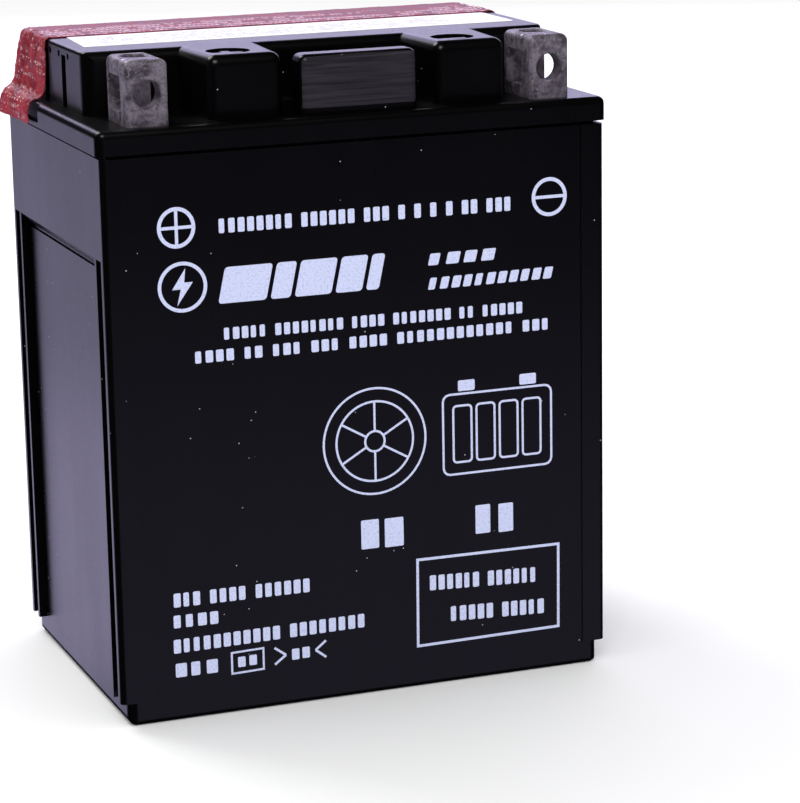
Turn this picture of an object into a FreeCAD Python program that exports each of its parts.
import FreeCAD, Part
import math
import os

# A sealed lead-acid motorcycle battery, in millimetres, +Z up.
# Origin: centre of the flat base. X runs along the front, -Y is the front, and the terminals stand at
# the two front corners of the lid.

# ---- overall sizes -------------------------------------------------------------------------------
LENGTH = 134.0            # lid flange along X, the longest plastic piece
WIDTH = 89.0              # lid flange along Y
HEIGHT = 166.0            # base to the top of the terminals
CELLS = 6

# ---- container -----------------------------------------------------------------------------------
LID_OVERHANG = 0.8        # the flange stands out past the container on each end
FRONT_STEP = 0.3          # the front and back panels lie behind the corner strips
END_RECESS = 2.0          # the end panels lie behind the posts
WALL_END = 3.0
WALL_SIDE = 3.0
FLOOR = 3.0
PARTITION = 1.6
FOOT_HEIGHT = 6.0         # plain foot under the posts
BAND_HEIGHT = 27.5        # thick band under the seam
POST_WIDTH_Y = 8.6
POST_WIDTH_X = 6.4
POST_LIP = 2.8            # outer rib of each post
POST_GROOVE = 4.4         # groove between the two ribs of a post
LEDGE_RISE = 2.4          # the band's underside slopes up by this much from the panel to its outer face
LEDGE_GROOVE_HEIGHT = 1.1
LEDGE_GROOVE_DEPTH = 0.5
CORNER_RADIUS = 1.6
FOOT_CORNER_RADIUS = 2.6
FOOT_END_ROUNDING = 2.2
FOOT_SIDE_ROUNDING = 1.2
NECK_INSET = 2.0          # weld neck between container and lid
NECK_HEIGHT = 0.8
REST_RIB_WIDTH = 3.0      # ribs on the floor that carry the plates
REST_RIB_HEIGHT = 2.0

# ---- lid -----------------------------------------------------------------------------------------
FLANGE_HEIGHT = 6.0
FLANGE_TOP_ROUNDING = 1.8
FLANGE_CORNER_RADIUS = 2.2
LID_WALL = 2.5
DECK_HEIGHT = 15.7        # raised rear part of the lid, above the shelf
DECK_FRONT_INSET = 27.5   # front edge of the lid to the deck
DECK_INSET = 5.0          # deck ends to flange ends
DECK_BACK_INSET = 1.0
DECK_ROUNDING = 2.4
DECK_END_ROUNDING = 0.9
DECK_CORNER_RADIUS = 3.4
DECK_RIB_DEPTH = 1.3      # upright ribs on the ends of the deck
DECK_RIB_WIDTH = 12.9
DECK_RIB_GAP = 4.0
DECK_CAP_HEIGHT = 2.4     # plain rim above those ribs
END_SLOT_WIDTH = 1.7      # small drain slots under the rim
END_SLOT_HEIGHT = 1.5
END_SLOT_DEPTH = 0.8
END_SLOT_GAP = 1.4        # slot to the groove beside it
BOSS_FRONT_INSET = 6.5    # the two polarity bosses in front of the deck
BOSS_WIDTH = 18.8
BOSS_INSETS = (26.05, 20.25)  # left and right terminal to the boss beside it
BOSS_ROUNDING = 2.6
BOSS_CORNER_RADIUS = 2.4
BOSS_FLARE = 1.8          # each boss spreads by this much on both flanks as it meets the deck
WELL_OFFSETS = (-1.8, -1.5)  # middle of a boss to its well
WELL_INSET = 8.6          # front of a boss to the middle of its well
WELL_RADIUS = 5.5
WELL_DEPTH = 2.0
SIGN_LENGTH = 7.6
SIGN_WIDTH = 2.2
SIGN_HEIGHT = 1.5
BLOCK_GAPS = (3.5, 5.9)   # guard block to the left and the right boss
BLOCK_FRONT_INSET = 3.3
BLOCK_DEPTH = 7.6
BLOCK_HEIGHT = 14.9
BLOCK_RIDGE = 0.25
BLOCK_ROUNDING = 2.0
BLOCK_CORNER_RADIUS = 2.0
WEB_HEIGHT = 3.2          # low web that ties the guard block to the left boss
WEB_DEPTH = 8.0
PORT_RADIUS = 5.0         # filler ports
PORT_TUBE_RADIUS = 7.0
PORT_TUBE_DROP = 8.0      # length of the filler tubes under the deck top
GAS_NOTCH = 3.0           # notch at the top of each lid partition, so that the cells share one vent
TAB_RECESS_DEPTH = 1.0    # recess behind the foil's end tabs
TAB_RECESS_SIDE = 6.5
TAB_RECESS_SILL = 1.2

# ---- vent ----------------------------------------------------------------------------------------
VENT_WELL_RADIUS = 6.6
VENT_SEAT_RADIUS = 7.4
VENT_COVER_THICKNESS = 1.6
VENT_CHAMBER_WALL = 2.2
VENT_WELL_DEPTH = 12.6
VENT_FLOOR = 2.4
NOZZLE_RADIUS = 3.0
NOZZLE_BORE_RADIUS = 1.3
NOZZLE_HEIGHT = 4.2
VALVE_WALL = 1.2
VALVE_TOP = 1.3
VALVE_SKIRT = 3.2
VALVE_GAP = 0.15
VALVE_LIFT = 0.8
ARRESTOR_THICKNESS = 2.0
ARRESTOR_GAP = 0.1
VENT_SLOT_WIDTH = 7.0
VENT_SLOT_HEIGHT = 1.3
VENT_DUCT_WALL = 1.4      # duct from the vent well to the front wall of the deck
VENT_RIM_WALL = 1.0       # rim under the vent cover that holds the arrestor down

# ---- terminals -----------------------------------------------------------------------------------
TERMINAL_END_INSET = 14.25  # end of the lid to the middle of a terminal
TERMINAL_WIDTH = 10.6
TERMINAL_FRONT_INSET = 3.5
TERMINAL_DEPTH = 17.4
TERMINAL_ROUNDING = 1.7
TERMINAL_CORNER_RADIUS = 1.1
TERMINAL_FRONT_WALL = 5.4
TERMINAL_BACK_WALL = 2.2
TERMINAL_TOP_WALL = 4.2
TERMINAL_FLOOR = 3.1      # lead under the nut window
BOLT_HOLE_RADIUS = 3.5
BOLT_HOLE_HEIGHT = 7.8    # shelf to the middle of the front hole
BOLT_HOLE_CHAMFER = 0.35
CAST_NOTCH_WIDTH = 1.0
CAST_NOTCH_HEIGHT = 2.2
CAST_NOTCH_DEPTH = 0.8
CAST_NOTCH_PITCH = 5.0
STUB_RADIUS = 4.2         # round stub that takes the terminal down through the shelf
STUB_LENGTH = 7.0
SEAL_THICKNESS = 2.4
SEAL_HEIGHT = 2.6
SEAL_CLEARANCE = 0.05
COLLAR_WALL = 1.6

# ---- foil and label ------------------------------------------------------------------------------
FOIL_THICKNESS = 0.3
FOIL_GAP = 0.1            # adhesive film
FOIL_FRONT_INSET = 26.5   # back of the deck to the front edge of the foil
FOIL_BACK_INSET = 1.4     # foil to the back edge of the deck
LABEL_THICKNESS = 0.15
LABEL_FRONT_INSET = 11.4  # front of the deck to the label
LABEL_SIDE_INSET = 3.6    # label ends to the deck ends
LABEL_SLANT = 1.6
LABEL_CORNER_RADIUS = 1.4
LABEL_TUCK = 0.2          # gap between the label's back edge and the foil

# ---- plates --------------------------------------------------------------------------------------
POSITIVE_PLATES = 4
NEGATIVE_PLATES = POSITIVE_PLATES + 1
POSITIVE_THICKNESS = 1.5
NEGATIVE_THICKNESS = 1.1
STACK_CLEARANCE = 1.0     # left over in a cell beside its stack of plates and mats
PLATE_SIDE_CLEARANCE = 1.6
HEAD_SPACE = 34.0         # top of the plates to the top of the container
PLATE_FRAME = 2.4
PLATE_FIELD_DEPTH = 0.15
MAT_OVERHANG = 0.9        # the glass mat stands past the plate's edge
LUG_WIDTH = 9.0
LUG_HEIGHT = 7.0
LUG_INSET = 8.6           # side of a plate to the middle of its lug
STRAP_WIDTH = 12.0
STRAP_HEIGHT = 5.0
TOMBSTONE_THICKNESS = 2.6
TOMBSTONE_HEIGHT = 12.0
WELD_RADIUS = 3.6
WELD_HEIGHT = 7.0         # centre of the through-the-wall weld above the straps
POST_RADIUS = 3.8

# ---- worked out ----------------------------------------------------------------------------------
CASE_X = LENGTH / 2 - LID_OVERHANG
CASE_Y = WIDTH / 2
PANEL_X = CASE_X - END_RECESS
PANEL_Y = CASE_Y - FRONT_STEP
CAVITY_X = PANEL_X - WALL_END
CAVITY_Y = PANEL_Y - WALL_SIDE
FLANGE_TOP = HEIGHT - FOIL_THICKNESS - FOIL_GAP - DECK_HEIGHT
FLANGE_BOTTOM = FLANGE_TOP - FLANGE_HEIGHT
CASE_TOP = FLANGE_BOTTOM - NECK_HEIGHT
BAND_BOTTOM = CASE_TOP - BAND_HEIGHT
DECK_TOP = FLANGE_TOP + DECK_HEIGHT
DECK_X = LENGTH / 2 - DECK_INSET
DECK_FRONT = DECK_FRONT_INSET - WIDTH / 2
DECK_BACK = WIDTH / 2 - DECK_BACK_INSET
FOIL_FRONT = DECK_BACK - FOIL_FRONT_INSET
FOIL_BACK = DECK_BACK - FOIL_BACK_INSET
LABEL_FRONT = DECK_FRONT + LABEL_FRONT_INSET
TERMINAL_X = LENGTH / 2 - TERMINAL_END_INSET
TERMINAL_FRONT = TERMINAL_FRONT_INSET - WIDTH / 2
BOLT_HOLE_Z = FLANGE_TOP + BOLT_HOLE_HEIGHT
BOSS_FRONT = BOSS_FRONT_INSET - WIDTH / 2
BOSS_CENTRES = (BOSS_INSETS[0] - TERMINAL_X, TERMINAL_X - BOSS_INSETS[1])
WELL_CENTRES = tuple(x + shift for x, shift in zip(BOSS_CENTRES, WELL_OFFSETS))
WELL_Y = BOSS_FRONT + WELL_INSET
BLOCK_LEFT = BOSS_CENTRES[0] + BOSS_WIDTH / 2 + BLOCK_GAPS[0]
BLOCK_RIGHT = BOSS_CENTRES[1] - BOSS_WIDTH / 2 - BLOCK_GAPS[1]
BLOCK_CENTRE = (BLOCK_LEFT + BLOCK_RIGHT) / 2
BLOCK_FRONT = BLOCK_FRONT_INSET - WIDTH / 2
PORT_Y = (FOIL_FRONT + FOIL_BACK) / 2
VENT_X = BLOCK_CENTRE
VENT_Y = (LABEL_FRONT + FOIL_FRONT) / 2
CELL_PITCH = (2 * CAVITY_X + PARTITION) / CELLS
CELL_WIDTH = CELL_PITCH - PARTITION
CELL_CENTRES = [(i - (CELLS - 1) / 2) * CELL_PITCH for i in range(CELLS)]
PLATES_THICKNESS = POSITIVE_PLATES * POSITIVE_THICKNESS + NEGATIVE_PLATES * NEGATIVE_THICKNESS
MAT_THICKNESS = (CELL_WIDTH - PLATES_THICKNESS - STACK_CLEARANCE) / (2 * POSITIVE_PLATES)
PLATE_BOTTOM = FLOOR + REST_RIB_HEIGHT + MAT_THICKNESS
PLATE_TOP = CASE_TOP - HEAD_SPACE
PLATE_HALF_Y = CAVITY_Y - PLATE_SIDE_CLEARANCE
LUG_OFFSET = PLATE_HALF_Y - LUG_INSET
STRAP_BOTTOM = PLATE_TOP + LUG_HEIGHT
STRAP_TOP = STRAP_BOTTOM + STRAP_HEIGHT
WELD_Z = STRAP_TOP + WELD_HEIGHT
POST_Y = TERMINAL_FRONT + TERMINAL_DEPTH / 2
SEAL_RADIUS = STUB_RADIUS + SEAL_THICKNESS
STUB_BOTTOM = FLANGE_TOP - STUB_LENGTH
SHELF_UNDER = FLANGE_TOP - LID_WALL
DECK_UNDER = DECK_TOP - LID_WALL
VENT_WELL_FLOOR = DECK_TOP - VENT_WELL_DEPTH
NOZZLE_TOP = VENT_WELL_FLOOR + NOZZLE_HEIGHT
ARRESTOR_BOTTOM = NOZZLE_TOP + VALVE_TOP + VALVE_LIFT + ARRESTOR_GAP
EPS = 1.0                 # how far a cutting tool runs past the face that it opens


def vec(x, y, z):
    return FreeCAD.Vector(x, y, z)


def block(x0, x1, y0, y1, z0, z1):
    """A box between two corners."""
    return Part.makeBox(x1 - x0, y1 - y0, z1 - z0, vec(x0, y0, z0))


def slab(half_x, half_y, z0, z1):
    """A box centred on the Z axis."""
    return block(-half_x, half_x, -half_y, half_y, z0, z1)


def rod(radius, x, y, z0, z1):
    """An upright cylinder."""
    return Part.makeCylinder(radius, z1 - z0, vec(x, y, z0))


def tube(outer, inner, x, y, z0, z1):
    return rod(outer, x, y, z0, z1).cut(rod(inner, x, y, z0, z1))


def is_upright(edge):
    box = edge.BoundBox
    return box.ZLength > 1e-6 and box.XLength < 1e-6 and box.YLength < 1e-6


def is_level_at(edge, z):
    box = edge.BoundBox
    return abs(box.ZMin - z) < 1e-6 and abs(box.ZMax - z) < 1e-6


def rounded(shape, radius, chosen):
    """The shape with the chosen edges rounded."""
    return shape.makeFillet(radius, [e for e in shape.Edges if chosen(e)])


def soft_block(x0, x1, y0, y1, z0, z1, corner, top):
    """A moulded boss: upright edges rounded first, then the edge round its top."""
    body = rounded(block(x0, x1, y0, y1, z0, z1), corner, is_upright)
    return rounded(body, top, lambda e: is_level_at(e, z1))


def fused(first, others):
    return first.multiFuse(list(others)).removeSplitter()


def mirrored(shape):
    """The same solid on the other end of the battery."""
    return shape.mirror(vec(0, 0, 0), vec(1, 0, 0))


def both_ends(shapes):
    """Shapes for the left end, with their twins for the right end."""
    return list(shapes) + [mirrored(s) for s in shapes]


# ---- container -----------------------------------------------------------------------------------
def foot_body():
    """Core of the container: end panels, front and back panels, and the rounded foot."""
    core = rounded(slab(PANEL_X, PANEL_Y, 0, CASE_TOP), FOOT_CORNER_RADIUS, is_upright)
    ends = block(-PANEL_X, PANEL_X, -PANEL_Y, PANEL_Y, 0, CASE_TOP)

    def end_edge(edge):
        return is_level_at(edge, 0) and edge.BoundBox.YLength > PANEL_Y

    def side_edge(edge):
        return is_level_at(edge, 0) and edge.BoundBox.XLength > PANEL_X

    ends = rounded(ends, FOOT_END_ROUNDING, end_edge)
    ends = rounded(ends, FOOT_SIDE_ROUNDING, side_edge)
    return core.common(ends)


def corner_post():
    """Left front post, a strip on the front face and two ribs on the end face."""
    outer = block(-CASE_X, -CASE_X + POST_WIDTH_X, -CASE_Y, -CASE_Y + POST_WIDTH_Y, FOOT_HEIGHT, CASE_TOP)

    def outer_corner(edge):
        box = edge.BoundBox
        return is_upright(edge) and box.XMin < -CASE_X + 1e-6 and box.YMin < -CASE_Y + 1e-6

    outer = rounded(outer, CORNER_RADIUS, outer_corner)
    groove_y = -CASE_Y + POST_LIP
    groove = block(-CASE_X - EPS, -PANEL_X, groove_y, groove_y + POST_GROOVE,
                   FOOT_HEIGHT - EPS, BAND_BOTTOM + LEDGE_RISE)
    return outer.cut(groove)


def upper_band():
    """Thick band under the seam, its underside sloped where it steps in to the end panels."""
    half_y = CASE_Y - POST_WIDTH_Y
    profile = [
        vec(-CASE_X, -half_y, CASE_TOP),
        vec(-CASE_X, -half_y, BAND_BOTTOM + LEDGE_RISE),
        vec(-PANEL_X, -half_y, BAND_BOTTOM),
        vec(-PANEL_X + EPS, -half_y, BAND_BOTTOM),
        vec(-PANEL_X + EPS, -half_y, CASE_TOP),
    ]
    face = Part.Face(Part.makePolygon(profile + profile[:1]))
    return face.extrude(vec(0, 2 * half_y, 0))


def ledge_groove():
    """Shallow groove in the end panel just under the band."""
    half_y = CASE_Y - POST_WIDTH_Y
    top = BAND_BOTTOM
    return block(-CASE_X, -PANEL_X + LEDGE_GROOVE_DEPTH, -half_y, half_y, top - LEDGE_GROOVE_HEIGHT, top)


def make_case():
    front_post = corner_post()
    back_post = front_post.mirror(vec(0, 0, 0), vec(0, 1, 0))
    additions = both_ends([front_post, back_post, upper_band()])
    neck = slab(CASE_X - NECK_INSET, CASE_Y - NECK_INSET, CASE_TOP, FLANGE_BOTTOM)
    body = fused(foot_body(), additions + [neck])
    cells = []
    for x in CELL_CENTRES:
        half = CELL_WIDTH / 2
        cells.append(block(x - half, x + half, -CAVITY_Y, CAVITY_Y, FLOOR, FLANGE_BOTTOM + EPS))
    holes = []
    for i in range(CELLS - 1):
        x = (CELL_CENTRES[i] + CELL_CENTRES[i + 1]) / 2
        start = vec(x - PARTITION, weld_side(i) * LUG_OFFSET, WELD_Z)
        holes.append(Part.makeCylinder(WELD_RADIUS, 2 * PARTITION, start, vec(1, 0, 0)))
    body = body.cut(Part.makeCompound(cells + both_ends([ledge_groove()])))
    body = body.cut(Part.makeCompound(holes))
    ribs = []
    for x in CELL_CENTRES:
        for y in (-LUG_OFFSET, LUG_OFFSET):
            half = CELL_WIDTH / 2
            top = FLOOR + REST_RIB_HEIGHT
            ribs.append(block(x - half, x + half, y, y + REST_RIB_WIDTH, FLOOR, top))
    return fused(body, ribs)


# ---- lid -----------------------------------------------------------------------------------------
def deck_rib_gaps():
    """Upright grooves that leave ribs on the left end of the deck."""
    gaps = []
    y = DECK_FRONT + DECK_CORNER_RADIUS + DECK_RIB_WIDTH
    while y + DECK_RIB_GAP < DECK_BACK:
        top = DECK_TOP - DECK_CAP_HEIGHT
        gaps.append(block(-DECK_X - EPS, -DECK_X + DECK_RIB_DEPTH, y, y + DECK_RIB_GAP, FLANGE_TOP, top))
        for side in (y - END_SLOT_WIDTH - END_SLOT_GAP, y + DECK_RIB_GAP + END_SLOT_GAP):
            low = top - END_SLOT_HEIGHT / 2
            gaps.append(block(-DECK_X - EPS, -DECK_X + END_SLOT_DEPTH, side, side + END_SLOT_WIDTH,
                              low, low + END_SLOT_HEIGHT))
        y += DECK_RIB_GAP + DECK_RIB_WIDTH
    return gaps


def deck_body():
    deck = block(-DECK_X, DECK_X, DECK_FRONT, DECK_BACK, FLANGE_BOTTOM + LID_WALL, DECK_TOP)
    deck = rounded(deck, DECK_CORNER_RADIUS, is_upright)

    def front_rim(edge):
        return is_level_at(edge, DECK_TOP) and edge.BoundBox.YMax < 0 and edge.BoundBox.XLength > DECK_X

    rim = rounded(deck, DECK_END_ROUNDING, lambda e: is_level_at(e, DECK_TOP))
    bar = block(-DECK_X - EPS, DECK_X + EPS, DECK_FRONT, DECK_BACK, FLANGE_BOTTOM + LID_WALL, DECK_TOP)
    return rim.common(rounded(bar, DECK_ROUNDING, front_rim))


def prism(outline, z0, z1):
    """A straight-sided solid on an outline of (x, y) corners."""
    points = [vec(x, y, z0) for x, y in outline]
    return Part.Face(Part.makePolygon(points + points[:1])).extrude(vec(0, 0, z1 - z0))


def boss_body(centre):
    """A polarity boss that spreads as it meets the deck."""
    half = BOSS_WIDTH / 2
    back = DECK_FRONT + DECK_ROUNDING + EPS
    spread = half + BOSS_FLARE
    outline = [(centre - half, BOSS_FRONT), (centre + half, BOSS_FRONT),
               (centre + spread, back), (centre - spread, back)]
    body = prism(outline, FLANGE_TOP - EPS, DECK_TOP)

    def front_corner(edge):
        return is_upright(edge) and edge.BoundBox.YMax < DECK_FRONT

    body = rounded(body, BOSS_CORNER_RADIUS, front_corner)
    return rounded(body, BOSS_ROUNDING, lambda e: is_level_at(e, DECK_TOP) and e.BoundBox.YMin < DECK_FRONT)


def guard_block():
    """Free-standing block between the bosses, its front a very shallow ridge."""
    back = BLOCK_FRONT + BLOCK_DEPTH
    top = FLANGE_TOP + BLOCK_HEIGHT
    side = BLOCK_FRONT + BLOCK_RIDGE
    outline = [(BLOCK_LEFT, side), (BLOCK_CENTRE, BLOCK_FRONT), (BLOCK_RIGHT, side),
               (BLOCK_RIGHT, back), (BLOCK_LEFT, back)]
    body = prism(outline, FLANGE_TOP - EPS, top)

    def corner(edge):
        return is_upright(edge) and abs(edge.BoundBox.XMin - BLOCK_CENTRE) > EPS

    body = rounded(body, BLOCK_CORNER_RADIUS, corner)
    return rounded(body, BLOCK_ROUNDING, lambda e: is_level_at(e, top))


def lid_cavities():
    """Hollow underside, one chamber for each cell, so that the lid's own partitions stay."""
    rooms = [
        (-CAVITY_X, CAVITY_X, -CAVITY_Y, CAVITY_Y, FLANGE_BOTTOM - EPS, SHELF_UNDER),
        (-DECK_X + LID_WALL + DECK_RIB_DEPTH, DECK_X - LID_WALL - DECK_RIB_DEPTH,
         DECK_FRONT + LID_WALL, DECK_BACK - LID_WALL, FLANGE_BOTTOM - EPS, DECK_UNDER),
    ]
    for centre in BOSS_CENTRES:
        half = BOSS_WIDTH / 2 - LID_WALL
        rooms.append((centre - half, centre + half, BOSS_FRONT + LID_WALL, DECK_FRONT + LID_WALL + EPS,
                      FLANGE_BOTTOM - EPS, DECK_UNDER - WELL_DEPTH))
    tools = []
    for x in CELL_CENTRES:
        cell = block(x - CELL_WIDTH / 2, x + CELL_WIDTH / 2, -WIDTH, WIDTH, FLANGE_BOTTOM - EPS, HEIGHT)
        for room in rooms:
            part = block(*room).common(cell)
            if part.Volume > EPS:
                tools.append(part)
    return tools


def polarity_sign(x, arms):
    """Raised plus or minus on the floor of a polarity well."""
    floor = DECK_TOP - WELL_DEPTH - EPS
    top = DECK_TOP - WELL_DEPTH + SIGN_HEIGHT
    long = SIGN_LENGTH / 2
    short = SIGN_WIDTH / 2
    bars = [block(x - long, x + long, WELL_Y - short, WELL_Y + short, floor, top)]
    if arms == 2:
        bars.append(block(x - short, x + short, WELL_Y - long, WELL_Y + long, floor, top))
    return bars


def vent_chamber():
    """Pillar under the deck that holds the relief valve, its duct, and what is cut out of them."""
    outer = VENT_SEAT_RADIUS + VENT_CHAMBER_WALL
    pillar = rod(outer, VENT_X, VENT_Y, VENT_WELL_FLOOR - VENT_FLOOR, DECK_TOP - LID_WALL / 2)
    duct_half = VENT_SLOT_WIDTH / 2 + VENT_DUCT_WALL
    duct = block(VENT_X - duct_half, VENT_X + duct_half, DECK_FRONT + LID_WALL / 2, VENT_Y,
                 ARRESTOR_BOTTOM + ARRESTOR_THICKNESS - VENT_DUCT_WALL, DECK_TOP - LID_WALL / 2)
    seat_floor = DECK_TOP - VENT_COVER_THICKNESS
    well = rod(VENT_WELL_RADIUS, VENT_X, VENT_Y, VENT_WELL_FLOOR, DECK_TOP + EPS)
    seat = rod(VENT_SEAT_RADIUS, VENT_X, VENT_Y, seat_floor, DECK_TOP + EPS)
    shelf = rod(VENT_WELL_RADIUS + ARRESTOR_GAP, VENT_X, VENT_Y, ARRESTOR_BOTTOM, seat_floor)
    low = ARRESTOR_BOTTOM + ARRESTOR_THICKNESS
    outlet = block(VENT_X - VENT_SLOT_WIDTH / 2, VENT_X + VENT_SLOT_WIDTH / 2, DECK_FRONT - EPS, VENT_Y,
                   low, low + VENT_SLOT_HEIGHT)
    nozzle = rod(NOZZLE_RADIUS, VENT_X, VENT_Y, VENT_WELL_FLOOR - EPS, NOZZLE_TOP)
    bore = rod(NOZZLE_BORE_RADIUS, VENT_X, VENT_Y, VENT_WELL_FLOOR - VENT_FLOOR - EPS, NOZZLE_TOP + EPS)
    return [pillar, duct], [well, seat, shelf, outlet], nozzle, bore


def make_lid():
    flange = rounded(slab(LENGTH / 2, WIDTH / 2, FLANGE_BOTTOM, FLANGE_TOP), FLANGE_CORNER_RADIUS, is_upright)
    flange = rounded(flange, FLANGE_TOP_ROUNDING, lambda e: is_level_at(e, FLANGE_TOP))
    web_left = BOSS_CENTRES[0] + BOSS_WIDTH / 2 - EPS
    web_right = BLOCK_LEFT + EPS
    web_back = BLOCK_FRONT + BLOCK_DEPTH
    web = block(web_left, web_right, web_back - EPS, web_back + WEB_DEPTH, FLANGE_TOP - EPS,
                FLANGE_TOP + WEB_HEIGHT)
    bosses = [boss_body(x) for x in BOSS_CENTRES]
    body = fused(flange, [deck_body(), guard_block(), web] + bosses)
    body = body.cut(Part.makeCompound(both_ends(deck_rib_gaps())))
    body = body.cut(Part.makeCompound(lid_cavities()))

    # underside: filler tubes, terminal collars and the vent pillar
    vent_solids, vent_cuts, nozzle, bore = vent_chamber()
    tubes = [rod(PORT_TUBE_RADIUS, x, PORT_Y, DECK_TOP - PORT_TUBE_DROP, DECK_TOP - LID_WALL / 2)
             for x in CELL_CENTRES]
    collars = [rod(SEAL_RADIUS + COLLAR_WALL, x, POST_Y, SHELF_UNDER - SEAL_HEIGHT, FLANGE_TOP - LID_WALL / 2)
               for x in (-TERMINAL_X, TERMINAL_X)]
    body = fused(body, tubes + collars + vent_solids)

    cuts = list(vent_cuts)
    for x in CELL_CENTRES:
        cuts.append(rod(PORT_RADIUS, x, PORT_Y, DECK_TOP - PORT_TUBE_DROP - EPS, DECK_TOP + EPS))
    for x in (-TERMINAL_X, TERMINAL_X):
        cuts.append(rod(STUB_RADIUS, x, POST_Y, FLANGE_BOTTOM - EPS, FLANGE_TOP + EPS))
        cuts.append(rod(SEAL_RADIUS, x, POST_Y, FLANGE_BOTTOM - EPS, SHELF_UNDER))
    for x in WELL_CENTRES:
        cuts.append(rod(WELL_RADIUS, x, WELL_Y, DECK_TOP - WELL_DEPTH, DECK_TOP + EPS))
    for i in range(CELLS - 1):
        x = (CELL_CENTRES[i] + CELL_CENTRES[i + 1]) / 2
        cuts.append(block(x - PARTITION, x + PARTITION, PORT_Y - PORT_TUBE_RADIUS - 2 * GAS_NOTCH,
                          PORT_Y - PORT_TUBE_RADIUS - GAS_NOTCH, DECK_UNDER - GAS_NOTCH, DECK_UNDER))
    recess = block(-LENGTH / 2 - EPS, -LENGTH / 2 + TAB_RECESS_DEPTH, FOIL_FRONT - TAB_RECESS_SIDE, FOIL_BACK,
                   FLANGE_BOTTOM + TAB_RECESS_SILL, FLANGE_TOP + EPS)
    cuts += both_ends([recess])
    body = body.cut(Part.makeCompound(cuts))
    signs = polarity_sign(WELL_CENTRES[0], 2) + polarity_sign(WELL_CENTRES[1], 1)
    body = fused(body, signs + [nozzle])
    return body.cut(bore)


# ---- vent pieces ---------------------------------------------------------------------------------
def make_relief_valve():
    """Rubber cap that sits on the nozzle and lifts when the cells gas."""
    inner = NOZZLE_RADIUS + VALVE_GAP
    top = NOZZLE_TOP + VALVE_TOP
    cap = rod(inner + VALVE_WALL, VENT_X, VENT_Y, NOZZLE_TOP - VALVE_SKIRT, top)
    return cap.cut(rod(inner, VENT_X, VENT_Y, NOZZLE_TOP - VALVE_SKIRT - EPS, NOZZLE_TOP))


def make_flame_arrestor():
    """Porous disc that the gas passes through on its way out."""
    return rod(VENT_WELL_RADIUS, VENT_X, VENT_Y, ARRESTOR_BOTTOM, ARRESTOR_BOTTOM + ARRESTOR_THICKNESS)


def make_vent_cover():
    """Disc flush with the deck, with a rim that holds the arrestor down."""
    seat = DECK_TOP - VENT_COVER_THICKNESS
    low = ARRESTOR_BOTTOM + ARRESTOR_THICKNESS
    rim = tube(VENT_WELL_RADIUS, VENT_WELL_RADIUS - VENT_RIM_WALL, VENT_X, VENT_Y, low, seat)
    half = VENT_SLOT_WIDTH / 2
    mouth = block(VENT_X - half, VENT_X + half, VENT_Y - 2 * VENT_WELL_RADIUS, VENT_Y,
                  low, low + VENT_SLOT_HEIGHT)
    return rod(VENT_SEAT_RADIUS, VENT_X, VENT_Y, seat, DECK_TOP).fuse(rim.cut(mouth)).removeSplitter()


# ---- terminals -----------------------------------------------------------------------------------
def make_terminal():
    """Left terminal: a cast lead box with a nut window through it, and a bolt hole in front and on top."""
    x0 = -TERMINAL_X - TERMINAL_WIDTH / 2
    x1 = -TERMINAL_X + TERMINAL_WIDTH / 2
    y1 = TERMINAL_FRONT + TERMINAL_DEPTH
    body = soft_block(x0, x1, TERMINAL_FRONT, y1, FLANGE_TOP, HEIGHT,
                      TERMINAL_CORNER_RADIUS, TERMINAL_ROUNDING)
    window_top = HEIGHT - TERMINAL_TOP_WALL
    window = block(x0 - EPS, x1 + EPS, TERMINAL_FRONT + TERMINAL_FRONT_WALL, y1 - TERMINAL_BACK_WALL,
                   FLANGE_TOP + TERMINAL_FLOOR, window_top)
    front_hole = Part.makeCylinder(BOLT_HOLE_RADIUS, TERMINAL_FRONT_WALL + 2 * EPS,
                                   vec(-TERMINAL_X, TERMINAL_FRONT - EPS, BOLT_HOLE_Z), vec(0, 1, 0))
    top_y = (TERMINAL_FRONT + TERMINAL_FRONT_WALL + y1 - TERMINAL_BACK_WALL) / 2
    top_hole = rod(BOLT_HOLE_RADIUS, -TERMINAL_X, top_y, window_top - EPS, HEIGHT + EPS)
    mouth = BOLT_HOLE_RADIUS + BOLT_HOLE_CHAMFER
    front_chamfer = Part.makeCone(mouth, BOLT_HOLE_RADIUS, BOLT_HOLE_CHAMFER,
                                  vec(-TERMINAL_X, TERMINAL_FRONT, BOLT_HOLE_Z), vec(0, 1, 0))
    top_chamfer = Part.makeCone(mouth, BOLT_HOLE_RADIUS, BOLT_HOLE_CHAMFER,
                                vec(-TERMINAL_X, top_y, HEIGHT), vec(0, 0, -1))
    notches = []
    for i in range(2):
        y = TERMINAL_FRONT + TERMINAL_FRONT_WALL + i * CAST_NOTCH_PITCH
        low = FLANGE_TOP + CAST_NOTCH_WIDTH
        notches.append(block(x0 - EPS, x0 + CAST_NOTCH_DEPTH, y, y + CAST_NOTCH_WIDTH,
                             low, low + CAST_NOTCH_HEIGHT))
    holes = [front_hole, top_hole, front_chamfer, top_chamfer]
    body = body.cut(Part.makeCompound([window] + holes + notches))
    return body.fuse(rod(STUB_RADIUS, -TERMINAL_X, POST_Y, STUB_BOTTOM, FLANGE_TOP)).removeSplitter()


def same_casting_at_the_right(casting):
    """Both terminals come out of one mould, so the right one is the left one moved over, not mirrored."""
    moved = casting.copy()
    moved.translate(vec(2 * TERMINAL_X, 0, 0))
    return moved


def make_terminal_seal():
    """Rubber ring round the stub, pressed up under the shelf."""
    outer = SEAL_RADIUS - SEAL_CLEARANCE
    inner = STUB_RADIUS + SEAL_CLEARANCE
    return tube(outer, inner, -TERMINAL_X, POST_Y, SHELF_UNDER - SEAL_HEIGHT, SHELF_UNDER)


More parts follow.
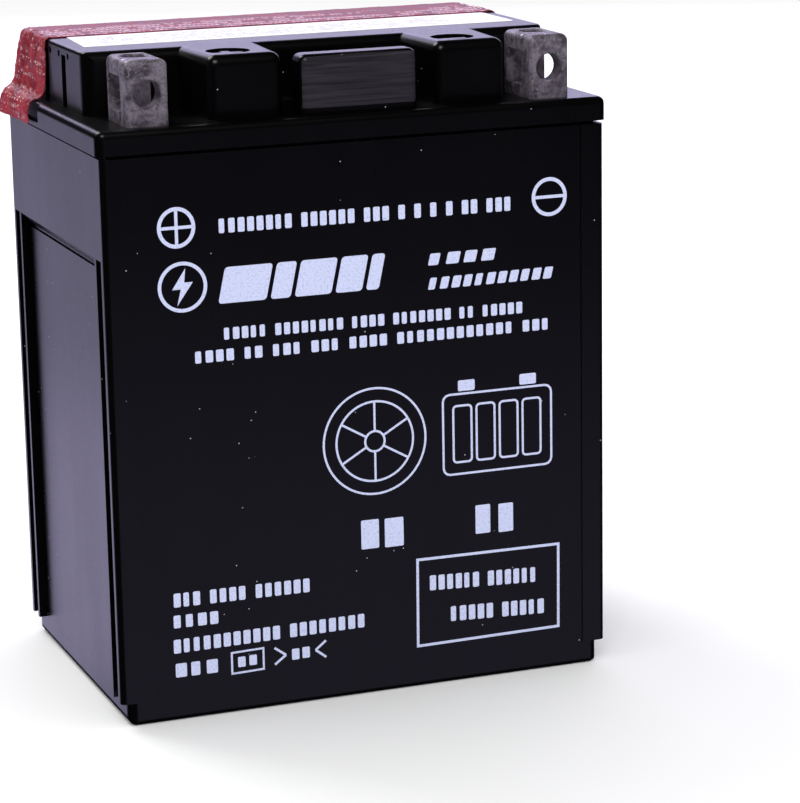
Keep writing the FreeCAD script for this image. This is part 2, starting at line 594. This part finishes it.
def make_post():
    """Lead post that rises from the end cell's strap to the terminal's stub."""
    return rod(POST_RADIUS, -TERMINAL_X, POST_Y, STRAP_TOP, STUB_BOTTOM)


# ---- foil and label ------------------------------------------------------------------------------
def make_foil_seal():
    """Foil strip over the filler ports, folded down over both ends of the lid."""
    gap = FOIL_GAP
    thick = FOIL_THICKNESS
    deck_out = DECK_X + gap
    edge_out = LENGTH / 2 + gap
    top = DECK_TOP + gap + thick
    shelf = FLANGE_TOP + gap
    strip = block(-deck_out - thick, deck_out + thick, FOIL_FRONT, FOIL_BACK, top - thick, top)
    wall = block(-deck_out - thick, -deck_out, FOIL_FRONT, FOIL_BACK, shelf, top)
    step = block(-edge_out - thick, -deck_out, FOIL_FRONT, FOIL_BACK, shelf, shelf + thick)
    tab = block(-edge_out - thick, -edge_out, FOIL_FRONT, FOIL_BACK,
                FLANGE_BOTTOM + NECK_HEIGHT, shelf + thick)
    return fused(strip, both_ends([wall, step, tab]))


def make_top_label():
    """Printed strip on the deck in front of the foil, slanted at its left end."""
    left = -DECK_X + LABEL_SIDE_INSET
    right = DECK_X - LABEL_SIDE_INSET
    back = FOIL_FRONT - LABEL_TUCK
    z = DECK_TOP
    outline = [vec(left, LABEL_FRONT, z), vec(right, LABEL_FRONT, z), vec(right, back, z),
               vec(left + LABEL_SLANT, back, z)]
    sheet = Part.Face(Part.makePolygon(outline + outline[:1])).extrude(vec(0, 0, LABEL_THICKNESS))
    return rounded(sheet, LABEL_CORNER_RADIUS, lambda e: is_upright(e) and e.BoundBox.XMin > 0)


# ---- plates, mats and straps ---------------------------------------------------------------------
def strap_side(cell, polarity):
    """-1 in front, +1 behind. Positive is in front in the first cell, and the sides swap cell by cell."""
    front_is_positive = cell % 2 == 0
    return -1 if (polarity == "positive") == front_is_positive else 1


def weld_side(gap):
    """Side on which the negative strap of a cell meets the positive strap of the next."""
    return strap_side(gap, "negative")


def stack_positions(x):
    """Centre of each plate across one cell: a negative at both ends, mats between."""
    pitch = (POSITIVE_THICKNESS + NEGATIVE_THICKNESS) / 2 + MAT_THICKNESS
    count = POSITIVE_PLATES + NEGATIVE_PLATES
    centres = [x + (i - (count - 1) / 2) * pitch for i in range(count)]
    return centres[1::2], centres[0::2]


def plate(x, thickness, side):
    """A cast grid with its pasted field, and the lug that goes up to the strap."""
    half = thickness / 2
    body = block(x - half, x + half, -PLATE_HALF_Y, PLATE_HALF_Y, PLATE_BOTTOM, PLATE_TOP)
    field_y = PLATE_HALF_Y - PLATE_FRAME
    for face in (-half - EPS, half - PLATE_FIELD_DEPTH):
        body = body.cut(block(x + face, x + face + EPS + PLATE_FIELD_DEPTH, -field_y, field_y,
                              PLATE_BOTTOM + PLATE_FRAME, PLATE_TOP - PLATE_FRAME))
    y = side * LUG_OFFSET
    lug = block(x - half, x + half, y - LUG_WIDTH / 2, y + LUG_WIDTH / 2, PLATE_TOP, STRAP_BOTTOM)
    return body.fuse(lug).removeSplitter()


def glass_mat(x):
    """One mat folded up round a positive plate."""
    inner = POSITIVE_THICKNESS / 2
    outer = inner + MAT_THICKNESS
    half_y = PLATE_HALF_Y + MAT_OVERHANG
    low = PLATE_BOTTOM
    fold = block(x - outer, x + outer, -half_y, half_y, low - MAT_THICKNESS, PLATE_TOP + MAT_OVERHANG)
    return fold.cut(block(x - inner, x + inner, -half_y - EPS, half_y + EPS, low, HEIGHT))


def strap(cell, polarity):
    """Cast strap over the lugs, with the upright that is welded through the partition."""
    x = CELL_CENTRES[cell]
    side = strap_side(cell, polarity)
    positives, negatives = stack_positions(x)
    own = positives if polarity == "positive" else negatives
    thickness = POSITIVE_THICKNESS if polarity == "positive" else NEGATIVE_THICKNESS
    y0 = side * LUG_OFFSET - STRAP_WIDTH / 2
    y1 = y0 + STRAP_WIDTH
    left = own[0] - thickness / 2
    right = own[-1] + thickness / 2
    towards = 1 if polarity == "negative" else -1
    is_end = (cell == 0 and towards < 0) or (cell == CELLS - 1 and towards > 0)
    wall = CELL_WIDTH / 2
    if is_end:
        post_x = math.copysign(TERMINAL_X, x)
        left = min(left, post_x - STRAP_WIDTH / 2)
        right = max(right, post_x + STRAP_WIDTH / 2)
        return block(left, right, y0, y1, STRAP_BOTTOM, STRAP_TOP)
    top = STRAP_TOP + TOMBSTONE_HEIGHT
    if towards > 0:
        right = x + wall
        upright = block(right - TOMBSTONE_THICKNESS, right, y0, y1, STRAP_TOP, top)
    else:
        left = x - wall
        upright = block(left, left + TOMBSTONE_THICKNESS, y0, y1, STRAP_TOP, top)
    return block(left, right, y0, y1, STRAP_BOTTOM, STRAP_TOP).fuse(upright).removeSplitter()


def intercell_weld(i):
    """Lead nugget squeezed through a partition."""
    x = (CELL_CENTRES[i] + CELL_CENTRES[i + 1]) / 2
    start = vec(x - PARTITION / 2, weld_side(i) * LUG_OFFSET, WELD_Z)
    return Part.makeCylinder(WELD_RADIUS, PARTITION, start, vec(1, 0, 0))


# ---- nodes ---------------------------------------------------------------------------------------
def all_nodes():
    nodes = {
        "case": make_case(),
        "lid": make_lid(),
        "foil_seal": make_foil_seal(),
        "top_label": make_top_label(),
        "relief_valve": make_relief_valve(),
        "flame_arrestor": make_flame_arrestor(),
        "vent_cover": make_vent_cover(),
    }
    casting = make_terminal()
    nodes["positive_terminal"] = casting
    nodes["negative_terminal"] = same_casting_at_the_right(casting)
    for name, shape in (("terminal_seal", make_terminal_seal()), ("post", make_post())):
        nodes["positive_" + name] = shape
        nodes["negative_" + name] = mirrored(shape)
    for cell, x in enumerate(CELL_CENTRES):
        number = str(cell + 1)
        positives, negatives = stack_positions(x)
        front = strap_side(cell, "positive")
        pos = [plate(p, POSITIVE_THICKNESS, front) for p in positives]
        neg = [plate(p, NEGATIVE_THICKNESS, -front) for p in negatives]
        nodes["positive_plates_" + number] = Part.makeCompound(pos)
        nodes["negative_plates_" + number] = Part.makeCompound(neg)
        nodes["glass_mats_" + number] = Part.makeCompound([glass_mat(p) for p in positives])
        nodes["positive_strap_" + number] = strap(cell, "positive")
        nodes["negative_strap_" + number] = strap(cell, "negative")
    for i in range(CELLS - 1):
        nodes["intercell_weld_" + str(i + 1)] = intercell_weld(i)
    return nodes


os.makedirs("parts", exist_ok=True)
for node, shape in all_nodes().items():
    shape.exportStep(os.path.join("parts", node + ".step"))
    box = shape.BoundBox
    low = [round(v, 2) for v in (box.XMin, box.YMin, box.ZMin)]
    high = [round(v, 2) for v in (box.XMax, box.YMax, box.ZMax)]
    print(f"{node}: {len(shape.Solids)} solids, valid {shape.isValid()}, from {low} to {high}")
